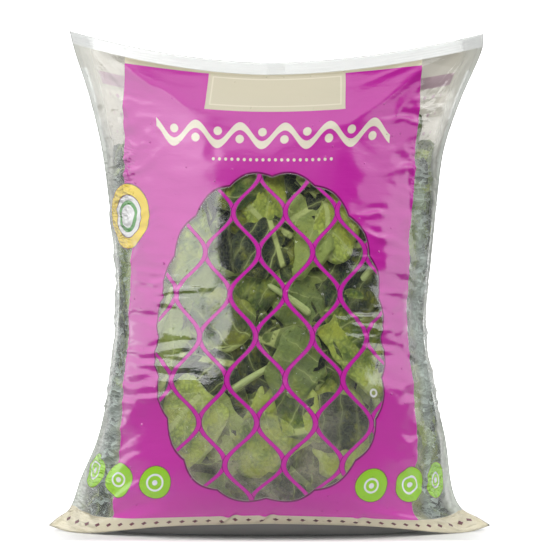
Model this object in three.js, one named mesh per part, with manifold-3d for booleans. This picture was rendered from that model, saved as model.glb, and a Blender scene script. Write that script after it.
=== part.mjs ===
// Filled pillow bag of chopped collard greens, standing on its folded bottom.
// Millimetres, +Z up. The printed front faces -Y and the floor is z = 0.
import * as THREE from 'three';
import { mergeVertices } from 'three/addons/utils/BufferGeometryUtils.js';
import Module from 'manifold-3d';

const wasm = await Module();
wasm.setup();

// The film is measured along itself: s runs from the bottom seal line to the top edge.
const filmLength = 346;
const skin = 0.6;              // thickness that stands for the film
const finWidth = 4;            // side creases where front and back lie on each other
const flatWidth = 312;         // width of the bag lying flat
const sealBow = 14;            // how far the top corners lean back from the middle
const earDip = 5.2;            // how far the bottom seal drops beside the lifted middle
const earLength = 40;          // stretch above the bottom seal where the bag runs thin at the sides

// Middle line of each side of the bag: [s, y, z].
const frontLine = [
  [0, -37, 11.9], [11, -45.5, 18.5], [23, -54, 27], [36, -61, 38], [60, -68.5, 61],
  [108, -74, 110], [155, -71, 158], [205, -58, 207], [250, -41, 249], [290, -22, 284],
  [320, -7, 308], [336, 0, 319], [346, 0, 329],
];
const backLine = [
  [0, -37, 11.9], [11, -20, 0], [23, 8, 0], [36, 32, 0], [60, 53, 18], [84, 65, 46],
  [108, 71, 80], [155, 74, 130], [205, 65, 184], [250, 47, 234], [290, 25, 277],
  [320, 8, 306], [336, 0, 319], [346, 0, 329],
];

// Side creases, from the ear on the floor to the top corner: [distance from the middle, z].
const leftCrease = [
  [155.2, 4], [149.5, 9], [140.4, 16], [132.7, 37], [120.8, 65], [114, 95], [108.2, 142],
  [107.2, 172], [108.9, 198], [112.4, 233], [117.3, 268], [125.7, 303], [136.9, 338], [140.4, 352],
];
const rightCrease = [
  [155.2, 4], [147.3, 9], [135, 16], [128.5, 30], [123.6, 65], [116.6, 95], [110, 135],
  [110.3, 163], [113.8, 198], [117.3, 233], [122.2, 268], [134.1, 303], [149.2, 338], [149.6, 350],
];

// Cross-section of each side: [s, fullness, lift, flat share, dip]. A low fullness is a round
// side and a high one a sharp edge. The lift raises the creases above the middle.
const frontSection = [
  [0, 1, 1.3, 0, 1], [36, 0.75, 1.6, 0, 0.1], [60, 0.6, 2, 0, 0], [108, 0.47, 2.2, 0, 0],
  [205, 0.46, 2.2, 0, 0], [250, 0.55, 2.1, 0, 0], [290, 0.8, 2, 0, 0], [336, 1.6, 1.8, 0, 0],
  [346, 1.6, 1.8, 0, 0],
];
const backSection = [
  [0, 1, 1.3, 0, 1], [11, 0.9, 3, 0.42, 0], [36, 0.75, 3, 0.42, 0], [60, 0.6, 2.6, 0.2, 0],
  [108, 0.47, 2.2, 0, 0], [205, 0.46, 2.2, 0, 0], [250, 0.55, 2.1, 0, 0], [290, 0.8, 2, 0, 0],
  [336, 1.6, 1.8, 0, 0], [346, 1.6, 1.8, 0, 0],
];
const sectionPower = 2.3;

// Vent holes: [x, z, side], side -1 on the front and +1 on the back.
const ventRadius = 1.5;
const vents = [[72.6, 103.6, -1], [-68, 205, 1], [60, 150, 1]];

// The heap of cut leaves. Depths are measured inwards from the film.
const heapTop = 292;
const coreDepth = 11;
const bladeRows = 11;
const bladesPerRow = 9;
const bladeThickness = 0.8;
const bladeTipDepth = 5;
const bladeRootDepth = 13;
const looseDepth = 2.4;
const looseThickness = 0.8;
const clearance = 0.35;

// Value between 0 and 1 that is fixed for each pair of numbers.
function draw(i, k) {
  const value = Math.sin(i * 12.9898 + k * 78.233) * 43758.5453;
  return value - Math.floor(value);
}

// Smooth curve through rows whose first entry is the parameter.
function smooth(rows, t) {
  let i = 0;
  while (i < rows.length - 2 && t > rows[i + 1][0]) i += 1;
  const slope = (j, c) => {
    const before = rows[Math.max(j - 1, 0)];
    const after = rows[Math.min(j + 1, rows.length - 1)];
    return (after[c] - before[c]) / (after[0] - before[0]);
  };
  const span = rows[i + 1][0] - rows[i][0];
  const f = (t - rows[i][0]) / span;
  return rows[i].slice(1).map((start, column) => {
    const c = column + 1;
    const end = rows[i + 1][c];
    const bend = f * (1 - f);
    const a = slope(i, c) * span - (end - start);
    const b = (end - start) - slope(i + 1, c) * span;
    return start + (end - start) * f + bend * ((1 - f) * a + f * b);
  });
}

// Straight steps between rows whose first entry is the parameter.
function stepped(rows, t) {
  let i = 0;
  while (i < rows.length - 2 && t > rows[i + 1][0]) i += 1;
  const f = (t - rows[i][0]) / (rows[i + 1][0] - rows[i][0]);
  return rows[i].slice(1).map((start, column) => start + (rows[i + 1][column + 1] - start) * f);
}

// Adds the distance along a crease, scaled to the length of the film, to each of its points.
function measured(points) {
  const lengths = [0];
  for (let i = 1; i < points.length; i += 1) {
    const step = Math.hypot(points[i][0] - points[i - 1][0], points[i][1] - points[i - 1][1]);
    lengths.push(lengths[i - 1] + step);
  }
  const scale = filmLength / lengths[points.length - 1];
  return points.map((point, i) => [lengths[i] * scale, ...point]);
}

const creases = { left: measured(leftCrease), right: measured(rightCrease) };

// Middle point of one side of the bag, moved inwards square to the film.
function middle(side, s, depth) {
  const line = side < 0 ? frontLine : backLine;
  const [y, z] = smooth(line, s);
  const low = smooth(line, Math.max(s - 1, 0));
  const high = smooth(line, Math.min(s + 1, filmLength));
  const along = Math.hypot(high[0] - low[0], high[1] - low[1]);
  const ny = -side * (high[1] - low[1]) / along;
  const nz = side * (high[0] - low[0]) / along;
  const inner = y + depth * ny;
  const crossed = depth > 0 && s > 60 && side * inner < 1;
  return [crossed ? side : inner, Math.max(z, 0) + depth * nz];
}

const rowSteps = 96;
const rowStore = new Map();

// Points across the bag at one height on the film, with their distance along the row.
function row(side, s, depth) {
  const key = `${side},${s.toFixed(3)},${depth.toFixed(3)}`;
  if (rowStore.has(key)) return rowStore.get(key);
  const [yMid, zMid] = middle(side, s, depth);
  const [fullness, lift, flatShare, dip] = stepped(side < 0 ? frontSection : backSection, s);
  const lean = THREE.MathUtils.smoothstep(s, 200, filmLength);
  const thin = 1 + 2 * Math.max(0, 1 - s / earLength) + 2 * THREE.MathUtils.smoothstep(s, 230, 310);
  const points = [];
  for (let i = 0; i <= rowSteps; i += 1) {
    const across = -Math.cos(Math.PI * i / rowSteps);
    const [reach, zSide] = smooth(across < 0 ? creases.left : creases.right, s);
    const half = depth > 0 ? reach - finWidth - depth * thin : reach;
    const filled = depth > 0 ? 1 : 1 - finWidth / reach;
    const a = Math.abs(across);
    const round = (1 - Math.min(a / filled, 1) ** sectionPower) ** fullness;
    const raised = (Math.max(a - flatShare, 0) / (1 - flatShare)) ** lift;
    const drop = dip * earDip * 15 * a ** 5 * (1 - a);
    const bow = sealBow * lean * (a * a - 0.4);
    points.push(new THREE.Vector3(
      across * half,
      yMid * round + bow,
      zMid + (zSide - zMid) * raised - drop,
    ));
  }
  const lengths = [0];
  for (let i = 1; i <= rowSteps; i += 1) {
    lengths.push(lengths[i - 1] + points[i].distanceTo(points[i - 1]));
  }
  const made = { points, lengths };
  rowStore.set(key, made);
  return made;
}

// Point on the film: u from -1 at the left crease to 1 at the right one.
function filmPoint(side, u, s, depth) {
  const { points, lengths } = row(side, s, depth);
  const target = THREE.MathUtils.clamp((u + 1) / 2, 0, 1) * lengths[rowSteps];
  let i = 0;
  while (i < rowSteps - 1 && lengths[i + 1] < target) i += 1;
  const f = (target - lengths[i]) / (lengths[i + 1] - lengths[i]);
  return points[i].clone().lerp(points[i + 1], f);
}

// Closed geometry from a list of points and triangles, with its faces turned outwards.
function closed(points, faces) {
  let volume = 0;
  for (const [a, b, c] of faces) {
    volume += points[a].dot(points[b].clone().cross(points[c])) / 6;
  }
  const geometry = new THREE.BufferGeometry().setFromPoints(points);
  geometry.setIndex(faces.flatMap(([a, b, c]) => (volume > 0 ? [a, b, c] : [a, c, b])));
  return mergeVertices(geometry, 1e-4);
}

// Pillow from a front and a back grid of points, closed along both creases and both ends.
function pillow(front, back) {
  const rows = front.length;
  const columns = front[0].length;
  const points = [...front.flat(), ...back.flat()];
  const at = (sheet, i, j) => sheet * rows * columns + i * columns + j;
  const faces = [];
  const same = (a, b) => points[a].distanceTo(points[b]) < 1e-3;
  const quad = (a, b, c, d) => {
    if (!same(a, b) && !same(b, c) && !same(c, a)) faces.push([a, b, c]);
    if (!same(a, c) && !same(c, d) && !same(d, a)) faces.push([a, c, d]);
  };
  const middleColumn = (columns - 1) / 2;
  for (let i = 0; i < rows - 1; i += 1) {
    for (let j = 0; j < columns - 1; j += 1) {
      const face = (sheet) => [at(sheet, i, j), at(sheet, i, j + 1), at(sheet, i + 1, j + 1),
        at(sheet, i + 1, j)];
      const [a, b, c, d] = face(0);
      const [e, f, g, h] = face(1);
      if (j < middleColumn) {
        quad(a, b, c, d);
        quad(e, h, g, f);
      } else {
        quad(b, c, d, a);
        quad(f, e, h, g);
      }
    }
    quad(at(0, i, 0), at(0, i + 1, 0), at(1, i + 1, 0), at(1, i, 0));
    quad(at(0, i, columns - 1), at(1, i, columns - 1), at(1, i + 1, columns - 1),
      at(0, i + 1, columns - 1));
  }
  for (let j = 0; j < columns - 1; j += 1) {
    const last = rows - 1;
    quad(at(0, last, j), at(0, last, j + 1), at(1, last, j + 1), at(1, last, j));
    quad(at(0, 0, j), at(1, 0, j), at(1, 0, j + 1), at(0, 0, j + 1));
  }
  return closed(points, faces);
}

// three.js geometry to a solid that can be joined and cut, and back.
function solid(geometry) {
  return new wasm.Manifold(new wasm.Mesh({
    numProp: 3,
    vertProperties: geometry.attributes.position.array,
    triVerts: new Uint32Array(geometry.index.array),
  }));
}

function toGeometry(body) {
  const mesh = body.getMesh();
  const geometry = new THREE.BufferGeometry();
  geometry.setAttribute('position', new THREE.BufferAttribute(mesh.vertProperties.slice(), 3));
  geometry.setIndex(new THREE.BufferAttribute(mesh.triVerts.slice(), 1));
  return geometry;
}

// The largest body of a solid, without loose scraps and sealed pockets.
function largest(body) {
  return body.decompose().reduce((best, piece) => (piece.volume() > best.volume() ? piece : best));
}

const filmColumns = [0.05, 0.14, 0.28, 0.42, 0.55, 0.67, 0.78, 0.87, 0.93, 0.965];
const seamColumns = [0.04];
const finColumns = [0.985, 1];
const mirrored = (list) => [...list.map((value) => -value).reverse(), ...list];
const filmRows = [0, 6, 11, 17, 23, 30, 36, 47, 60, 76, 92, 108, 130, 155, 180, 205, 228, 250,
  270, 290, 306, 320, 330, 336, 346];
const hollowRows = filmRows.filter((s) => s >= 11 && s <= 330);

// Outside of the film, with the lap seam standing proud of the back.
function outerFilm() {
  const columns = mirrored([...seamColumns, ...filmColumns, ...finColumns]);
  const grid = (side) => filmRows.map((s) => columns.map((u) => {
    const point = filmPoint(side, u, s, 0);
    const edge = s === 0 || Math.abs(u) === 1;
    const onSeam = side > 0 && s > 47 && Math.abs(u) === seamColumns[0];
    point.y += edge ? 0 : side * skin * (onSeam ? 2 : 1);
    return point;
  }));
  return pillow(grid(-1), grid(1));
}

// Inward direction square to one side of the bag.
function inward(side, u, s) {
  const across = filmPoint(side, u + 0.01, s, 0).sub(filmPoint(side, u - 0.01, s, 0));
  const along = filmPoint(side, u, s + 1, 0).sub(filmPoint(side, u, s - 1, 0));
  return across.cross(along).multiplyScalar(-side).normalize().negate();
}

// Inside of the film, one skin in from the outside. It closes to a line at the seals.
function innerFilm() {
  const columns = mirrored(filmColumns);
  const last = columns.length - 1;
  const ends = [hollowRows[0], hollowRows[hollowRows.length - 1]];
  const inside = (side, u, s) => {
    const direction = inward(side, u, s);
    return filmPoint(side, u, s, 0).addScaledVector(direction, skin * (1 - Math.abs(direction.y)));
  };
  const grid = (side) => hollowRows.map((s) => columns.map((u, j) => {
    const own = inside(side, u, s);
    const shared = ends.includes(s) || j === 0 || j === last;
    return shared ? own.lerp(inside(-side, u, s), 0.5) : own;
  }));
  return pillow(grid(-1), grid(1));
}

function ventHole([x, z, side]) {
  const hole = new THREE.CylinderGeometry(ventRadius, ventRadius, 60, 8);
  hole.deleteAttribute('normal');
  hole.deleteAttribute('uv');
  hole.translate(x, side * 70, z);
  return solid(mergeVertices(hole, 1e-4));
}

function bagFilm() {
  const shell = solid(outerFilm()).subtract(solid(innerFilm()));
  return vents.reduce((film, vent) => film.subtract(ventHole(vent)), shell);
}

// Point at a depth below the film, round the whole bag: w is 0 to 1 on the front, left to
// right, and 1 to 2 on the back, right to left.
function depthPoint(w, s, depth) {
  const turn = ((w % 2) + 2) % 2;
  const level = THREE.MathUtils.clamp(s, 9, heapTop + 12);
  return turn < 1 ? filmPoint(-1, 2 * turn - 1, level, depth) : filmPoint(1, 3 - 2 * turn, level, depth);
}

function heapCore() {
  const columns = mirrored([0.22, 0.44, 0.66, 0.84, 1]);
  const rows = [14, 24, 36, 60, 95, 140, 190, 235, 265, heapTop - 10];
  const grid = (side) => rows.map((s) => columns.map((u) => filmPoint(side, u, s, coreDepth)));
  return pillow(grid(-1), grid(1));
}

// A cut piece of leaf, laid under the film with its outline drawn round one point.
// Both faces are split alike, so a waved piece never crosses itself.
function leafBlade({ w, s, turn, length, width, sides, tip, root, wave, thickness, seed }) {
  const rim = [];
  for (let k = 0; k < sides; k += 1) {
    const angle = 2 * Math.PI * (k + 0.5 * draw(seed, k)) / sides;
    const reach = 0.82 + 0.3 * draw(seed, k + 20);
    rim.push([Math.cos(angle) * reach, Math.sin(angle) * reach]);
  }
  rim.push([0, 0]);
  const place = ([a, b], k, extra) => {
    const x = a * length / 2;
    const y = b * width / 2;
    const across = x * Math.cos(turn) - y * Math.sin(turn);
    const along = x * Math.sin(turn) + y * Math.cos(turn);
    const waved = k === sides ? wave : wave * (draw(seed, k + 40) - 0.2);
    const depth = THREE.MathUtils.clamp(tip + (root - tip) * (0.5 - a / 2) + waved, tip, root);
    return depthPoint(w + across / flatWidth, s + along, depth + extra);
  };
  const points = [
    ...rim.map((spot, k) => place(spot, k, 0)),
    ...rim.map((spot, k) => place(spot, k, thickness)),
  ];
  const faces = [];
  const under = sides + 1;
  for (let k = 0; k < sides; k += 1) {
    const next = (k + 1) % sides;
    faces.push([k, next, sides], [under + next, under + k, under + sides]);
    faces.push([next, k, under + k], [next, under + k, under + next]);
  }
  return closed(points, faces);
}

function heapBlades() {
  const blades = [];
  for (let i = 0; i < bladeRows; i += 1) {
    for (let j = 0; j < bladesPerRow; j += 1) {
      const seed = i * bladesPerRow + j + 1;
      blades.push(leafBlade({
        w: (j + 0.5 * (i % 2) + 0.35 * draw(seed, 1)) * 2 / bladesPerRow,
        s: 22 + (heapTop - 30) * (i + 0.4 * draw(seed, 2)) / (bladeRows - 1),
        turn: 2 * Math.PI * draw(seed, 3),
        length: 54 + 14 * draw(seed, 4),
        width: 40 + 12 * draw(seed, 5),
        sides: 6,
        tip: bladeTipDepth,
        root: bladeRootDepth,
        wave: 3,
        thickness: bladeThickness,
        seed,
      }));
    }
  }
  return blades;
}

// Leaf pieces pressed flat against the film: [x along the flat film, s].
const loosePlaces = [[-62, 88], [-6, 66], [66, 150], [-38, 150], [20, 122], [-70, 205],
  [-8, 200], [52, 214], [-28, 248], [46, 82]];

// Cut lengths of leaf stalk lying against the film: [x along the flat film, s, turn].
const stalkPlaces = [[-14, 112, 0.5], [78, 104, 1.9], [-84, 160, 1.2], [14, 165, 2.6],
  [-104, 120, 1.7], [86, 190, 0.7]];
const stalkLength = 40;
const stalkRadius = 2.6;

function looseLeaf([x, s], index) {
  return leafBlade({
    w: 0.5 + x / flatWidth,
    s,
    turn: 2 * Math.PI * draw(index, 60),
    length: 46,
    width: 34,
    sides: 8,
    tip: looseDepth,
    root: looseDepth + 0.3,
    wave: 0.2,
    thickness: looseThickness,
    seed: 200 + index,
  });
}

// A tapered rod that follows the film, with slanted cut ends.
function stalk([x, s, turn], grow) {
  const stations = 4;
  const sides = 7;
  const radius = (k) => stalkRadius * (1 - 0.12 * k) + grow;
  const spots = [];
  for (let k = 0; k < stations; k += 1) {
    const reach = (k / (stations - 1) - 0.5) * (stalkLength + 2 * grow);
    const depth = looseDepth + stalkRadius;
    spots.push(depthPoint(0.5 + (x + reach * Math.cos(turn)) / flatWidth,
      s + reach * Math.sin(turn), depth));
  }
  const points = [];
  spots.forEach((spot, k) => {
    const ahead = spots[Math.min(k + 1, stations - 1)].clone();
    const axis = ahead.sub(spots[Math.max(k - 1, 0)]).normalize();
    const cut = axis.clone().add(new THREE.Vector3(0.3, 0, 0.2)).normalize();
    const out = new THREE.Vector3(0, -1, 0).cross(axis).normalize();
    const other = axis.clone().cross(out);
    for (let i = 0; i < sides; i += 1) {
      const angle = 2 * Math.PI * i / sides;
      const point = spot.clone()
        .addScaledVector(out, radius(k) * Math.cos(angle))
        .addScaledVector(other, radius(k) * Math.sin(angle));
      const slant = k === 0 || k === stations - 1 ? -point.clone().sub(spot).dot(cut) : 0;
      points.push(point.addScaledVector(axis, slant));
    }
  });
  const faces = [];
  for (let k = 0; k < stations - 1; k += 1) {
    for (let i = 0; i < sides; i += 1) {
      const a = k * sides + i;
      const b = k * sides + (i + 1) % sides;
      faces.push([a, b, b + sides], [a, b + sides, a + sides]);
    }
  }
  for (let i = 1; i < sides - 1; i += 1) {
    const end = (stations - 1) * sides;
    faces.push([0, i + 1, i], [end, end + i, end + i + 1]);
  }
  return closed(points, faces);
}

function choppedLeaves() {
  const heap = wasm.Manifold.union([solid(heapCore()), ...heapBlades().map(solid)]);
  const cleared = stalkPlaces.reduce((rest, place) => rest.subtract(solid(stalk(place, clearance))), heap);
  return largest(cleared);
}

function mesh(name, geometry, material) {
  const piece = new THREE.Mesh(geometry, material);
  piece.name = name;
  return piece;
}

const number = (index) => String(index + 1).padStart(2, '0');

const filmMaterial = new THREE.MeshStandardMaterial({ color: '#b8479f', roughness: 0.22, metalness: 0 });
const heapMaterial = new THREE.MeshStandardMaterial({ color: '#4c6b34', roughness: 0.55, metalness: 0 });
const leafMaterial = new THREE.MeshStandardMaterial({ color: '#6f8f45', roughness: 0.5, metalness: 0 });
const stalkMaterial = new THREE.MeshStandardMaterial({ color: '#c2d296', roughness: 0.5, metalness: 0 });

const bag = new THREE.Group();
bag.add(mesh('bag_film', toGeometry(bagFilm()), filmMaterial));
bag.add(mesh('chopped_leaves', toGeometry(choppedLeaves()), heapMaterial));
loosePlaces.forEach((place, index) => {
  bag.add(mesh(`leaf_piece_${number(index)}`, looseLeaf(place, index), leafMaterial));
});
stalkPlaces.forEach((place, index) => {
  bag.add(mesh(`stalk_piece_${number(index)}`, stalk(place, 0), stalkMaterial));
});

export default bag;
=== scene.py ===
import math
import bpy
import numpy as np
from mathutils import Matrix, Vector


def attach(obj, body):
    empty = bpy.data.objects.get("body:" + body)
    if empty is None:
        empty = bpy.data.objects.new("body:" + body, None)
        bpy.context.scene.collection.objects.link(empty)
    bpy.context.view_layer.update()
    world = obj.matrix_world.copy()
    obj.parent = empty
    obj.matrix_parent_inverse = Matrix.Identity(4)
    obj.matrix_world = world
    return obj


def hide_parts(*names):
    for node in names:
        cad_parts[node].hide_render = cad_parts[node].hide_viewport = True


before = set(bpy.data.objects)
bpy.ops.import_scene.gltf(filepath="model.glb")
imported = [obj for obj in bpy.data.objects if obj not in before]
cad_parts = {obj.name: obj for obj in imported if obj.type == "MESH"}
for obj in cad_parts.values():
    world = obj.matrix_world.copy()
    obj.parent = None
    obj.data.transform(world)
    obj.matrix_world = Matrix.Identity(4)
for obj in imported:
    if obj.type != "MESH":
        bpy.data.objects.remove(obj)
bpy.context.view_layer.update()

mm = 0.001


# Curves and mesh helpers

def smoothRows(rows, t):
    # same smooth curve as the solids use, through rows whose first entry is the parameter
    i = int(np.clip(np.searchsorted(rows[:, 0], t) - 1, 0, len(rows) - 2))

    def slope(j):
        before, after = rows[max(j - 1, 0)], rows[min(j + 1, len(rows) - 1)]
        return (after[1:] - before[1:]) / (after[0] - before[0])

    span = rows[i + 1, 0] - rows[i, 0]
    f = (t - rows[i, 0]) / span
    start, end = rows[i, 1:], rows[i + 1, 1:]
    a = slope(i) * span - (end - start)
    b = (end - start) - slope(i + 1) * span
    return start + (end - start) * f + f * (1 - f) * ((1 - f) * a + f * b)


def steppedRows(rows, t):
    return [np.interp(t, rows[:, 0], rows[:, c]) for c in range(1, rows.shape[1])]


def smoothStep(t, low, high):
    f = np.clip((t - low) / (high - low), 0, 1)
    return f * f * (3 - 2 * f)


def band(t, rise, fall):
    # 1 between two soft ends
    return smoothStep(t, *rise) * (1 - smoothStep(t, *fall))


def makeMesh(name, points, faces):
    mesh = bpy.data.meshes.new(name)
    points = np.asarray(points, dtype=np.float32)
    faces = np.asarray(faces, dtype=np.int32)
    mesh.vertices.add(len(points))
    mesh.vertices.foreach_set("co", points.ravel())
    size = faces.shape[1]
    mesh.loops.add(faces.size)
    mesh.loops.foreach_set("vertex_index", faces.ravel())
    mesh.polygons.add(len(faces))
    mesh.polygons.foreach_set("loop_start", np.arange(0, faces.size, size, dtype=np.int32))
    mesh.update(calc_edges=True)
    mesh.validate()
    mesh.polygons.foreach_set("use_smooth", [True] * len(mesh.polygons))
    piece = bpy.data.objects.new(name, mesh)
    bpy.context.collection.objects.link(piece)
    return piece


def gridFaces(index, closed=False):
    # faces of a grid of point numbers; closed joins its last column to its first
    if closed:
        index = np.column_stack([index, index[:, 0]])
    corners = [index[:-1, :-1], index[:-1, 1:], index[1:, 1:], index[1:, :-1]]
    return np.stack(corners, axis=2).reshape(-1, 4)


def addVectors(piece, name, values):
    layer = piece.data.attributes.new(name, "FLOAT_VECTOR", "POINT")
    layer.data.foreach_set("vector", np.asarray(values, dtype=np.float32).ravel())


# Repeatable noise: sums of smooth value noise on a grid

def valueNoise(x, y, seed):
    xi, yi = np.floor(x).astype(int), np.floor(y).astype(int)
    fx, fy = x - xi, y - yi
    fx, fy = fx * fx * (3 - 2 * fx), fy * fy * (3 - 2 * fy)

    def corner(i, j):
        h = np.sin(i * 127.1 + j * 311.7 + seed * 74.7) * 43758.5453
        return h - np.floor(h)

    low = corner(xi, yi) * (1 - fx) + corner(xi + 1, yi) * fx
    high = corner(xi, yi + 1) * (1 - fx) + corner(xi + 1, yi + 1) * fx
    return (low * (1 - fy) + high * fy) * 2 - 1


def layeredNoise(x, y, seed, octaves=3):
    total, size = 0, 1.0
    for k in range(octaves):
        total = total + valueNoise(x * 2 ** k, y * 2 ** k, seed + k) * size
        size *= 0.5
    return total


# Film form, in millimetres: s runs up the film and u across it, as in the solids

film = {
    "length": 346.0,
    "flatWidth": 312.0,
    "finWidth": 4.0,
    "sealBow": 14.0,
    "earDip": 5.2,
    "earLength": 40.0,
    "power": 2.3,
    "waist": ((50, 105), (225, 265)),       # levels where the side fins are narrow
    "thinTop": (230, 310),  # levels over which the filling thins out
    "gap": 0.25,            # half the space between the two layers at the seals
    "lowest": 0.15,         # the sole stays this far over the floor
    "sectionSteps": 192,
    "acrossCount": 196,
    "rowStep": 1.5,
    "frontLine": [[0, -37, 11.9], [11, -45.5, 18.5], [23, -54, 27], [36, -61, 38], [60, -68.5, 61],
                  [108, -74, 110], [155, -71, 158], [205, -58, 207], [250, -41, 249],
                  [290, -22, 284], [320, -7, 308], [336, 0, 319], [346, 0, 329]],
    "backLine": [[0, -37, 11.9], [11, -20, 0], [23, 8, 0], [36, 32, 0], [60, 53, 18], [84, 65, 46],
                 [108, 71, 80], [155, 74, 130], [205, 65, 184], [250, 47, 234], [290, 25, 277],
                 [320, 8, 306], [336, 0, 319], [346, 0, 329]],
    "leftCrease": [[155.2, 4], [149.5, 9], [140.4, 16], [132.7, 37], [120.8, 65], [114, 95],
                   [108.2, 142], [107.2, 172], [108.9, 198], [112.4, 233], [117.3, 268],
                   [125.7, 303], [136.9, 338], [140.4, 352]],
    "rightCrease": [[155.2, 4], [147.3, 9], [135, 16], [128.5, 30], [123.6, 65], [116.6, 95],
                    [110, 135], [110.3, 163], [113.8, 198], [117.3, 233], [122.2, 268],
                    [134.1, 303], [149.2, 338], [149.6, 350]],
    "frontSection": [[0, 1, 1.3, 0, 1], [36, 0.75, 1.6, 0, 0.1], [60, 0.6, 2, 0, 0],
                     [108, 0.47, 2.2, 0, 0], [205, 0.46, 2.2, 0, 0], [250, 0.55, 2.1, 0, 0],
                     [290, 0.8, 2, 0, 0], [336, 1.6, 1.8, 0, 0], [346, 1.6, 1.8, 0, 0]],
    "backSection": [[0, 1, 1.3, 0, 1], [11, 0.9, 3, 0.42, 0], [36, 0.75, 3, 0.42, 0],
                    [60, 0.6, 2.6, 0.2, 0], [108, 0.47, 2.2, 0, 0], [205, 0.46, 2.2, 0, 0],
                    [250, 0.55, 2.1, 0, 0], [290, 0.8, 2, 0, 0], [336, 1.6, 1.8, 0, 0],
                    [346, 1.6, 1.8, 0, 0]],
}


def measuredCrease(points):
    points = np.array(points, dtype=float)
    steps = np.hypot(*np.diff(points, axis=0).T)
    along = np.concatenate([[0], np.cumsum(steps)])
    return np.column_stack([along * film["length"] / along[-1], points])


creases = [measuredCrease(film["leftCrease"]), measuredCrease(film["rightCrease"])]
rowAcross = -np.cos(np.pi * np.arange(film["sectionSteps"] + 1) / film["sectionSteps"])


def filmMiddle(side, s, depth):
    # point on the middle line of one side, moved inward by depth
    line = np.array(film["frontLine" if side < 0 else "backLine"], dtype=float)
    y, z = smoothRows(line, s)
    before, after = smoothRows(line, max(s - 1, 0)), smoothRows(line, min(s + 1, film["length"]))
    step = (after - before) / np.hypot(*(after - before))
    inner = y - side * step[1] * depth
    if depth > 0 and s > 60 and side * inner < 1:
        inner = side                        # stays 1 mm short of the middle plane
    return inner, max(z, 0) + side * step[0] * depth


def filmRow(side, s, columns, depth=0.0):
    # points across one side of the bag; columns run from -1 to 1 by length along the row
    section = np.array(film["frontSection" if side < 0 else "backSection"], dtype=float)
    yMid, zMid = filmMiddle(side, s, depth)
    fullness, lift, flatShare, dip = steppedRows(section, s)
    left, right = smoothRows(creases[0], s), smoothRows(creases[1], s)
    reach = np.where(rowAcross < 0, left[0], right[0])
    zSide = np.where(rowAcross < 0, left[1], right[1])
    a = np.abs(rowAcross)
    thin = 1 + 2 * max(0, 1 - s / film["earLength"]) + 2 * smoothStep(s, *film["thinTop"])
    fin = film["finWidth"] * (1 - 0.75 * band(s, *film["waist"]))
    half = reach - (fin + depth * thin if depth > 0 else 0)
    filled = 1 if depth > 0 else 1 - fin / reach
    profile = (1 - np.minimum(a / filled, 1) ** film["power"]) ** fullness
    raised = (np.maximum(a - flatShare, 0) / (1 - flatShare)) ** lift
    drop = dip * film["earDip"] * 15 * a ** 5 * (1 - a)
    bow = film["sealBow"] * smoothStep(s, 200, film["length"]) * (a * a - 0.4)
    points = np.column_stack([rowAcross * half, yMid * profile + bow,
                              zMid + (zSide - zMid) * raised - drop])
    lengths = np.concatenate([[0], np.cumsum(np.linalg.norm(np.diff(points, axis=0), axis=1))])
    at = (columns + 1) / 2 * lengths[-1]
    return np.column_stack([np.interp(at, lengths, points[:, c]) for c in range(3)])


def outwardOf(grid, side):
    normal = np.cross(np.gradient(grid, axis=1), np.gradient(grid, axis=0)) * -side
    return normal / np.maximum(np.linalg.norm(normal, axis=2, keepdims=True), 1e-9)


columns = np.linspace(-1, 1, film["acrossCount"])
rowsUp = np.arange(0, film["length"] + 0.1, film["rowStep"])
flatX, flatS = np.meshgrid(columns * film["flatWidth"] / 2, rowsUp)


# Wrinkles of the film, in millimetres outward

wrinkles = {
    "cushion": 0.8,         # soft unevenness over the leaf pieces
    "margin": 1.4,          # crinkles along the two side edges
    "pull": 0.9,            # level pleats beside the window
    "corner": 0.9,          # small folds that run in from the top corners
    "crest": 2.4,           # the one large fold from each top corner
    "ear": 1.6,             # folds that run up from the bottom corners
    "crumple": 1.5,         # crinkles of those corners themselves
    "seam": 0.6,            # the lap seam lies on top of the film behind
    # its course for each hand, flank width first; sharper on the left
    "crestLines": {-1: (6, [(156, 350), (110, 322), (88, 313), (70, 301), (26, 300)]),
                   1: (11, [(156, 350), (114, 330), (86, 304), (60, 288), (0, 280)])},
    # short level folds: middle, half length, height, slope; beside the window, and behind
    "folds": [(-66, 170, 24, 1.1, 0.06), (-74, 164, 20, 0.9, -0.03), (-82, 176, 14, 0.7, 0.10),
              (-72, 131, 22, 0.8, 0.08), (-80, 121, 24, 0.9, -0.04), (-66, 111, 18, 0.7, 0.03),
              (-84, 100, 16, 0.6, 0.10), (66, 152, 24, 1.1, 0.10), (74, 146, 20, 0.9, -0.03),
              (62, 140, 18, 0.8, 0.12), (80, 132, 16, 0.6, 0.02), (84, 206, 18, 0.7, -0.10),
              (76, 221, 16, 0.6, 0.12)],
    "backFolds": [(-78, 188, 30, 1.0, 0.08), (-70, 152, 24, 0.8, -0.05), (-88, 118, 20, 0.8, 0.10),
                  (-60, 84, 26, 0.7, 0.04), (80, 214, 24, 0.9, -0.08), (72, 172, 30, 1.0, 0.05),
                  (86, 136, 22, 0.8, -0.06), (64, 100, 24, 0.8, 0.09), (6, 236, 34, 0.7, 0.05),
                  (-14, 128, 22, 0.6, -0.04)],
    # where the lower strip is pinched over the sole
    "pinches": [(-30, 1.5), (-5, 1.3), (58, 0.9)],
}


def ridges(value):
    return 1 - 2 * np.abs(value)


def hollowed(off, width, beside, depth, flank):
    # section of a fold: a crest with a shallow trough on one side of it
    return np.exp(-(off / width) ** 2) - depth * np.exp(-((off - beside) / flank) ** 2)


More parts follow.
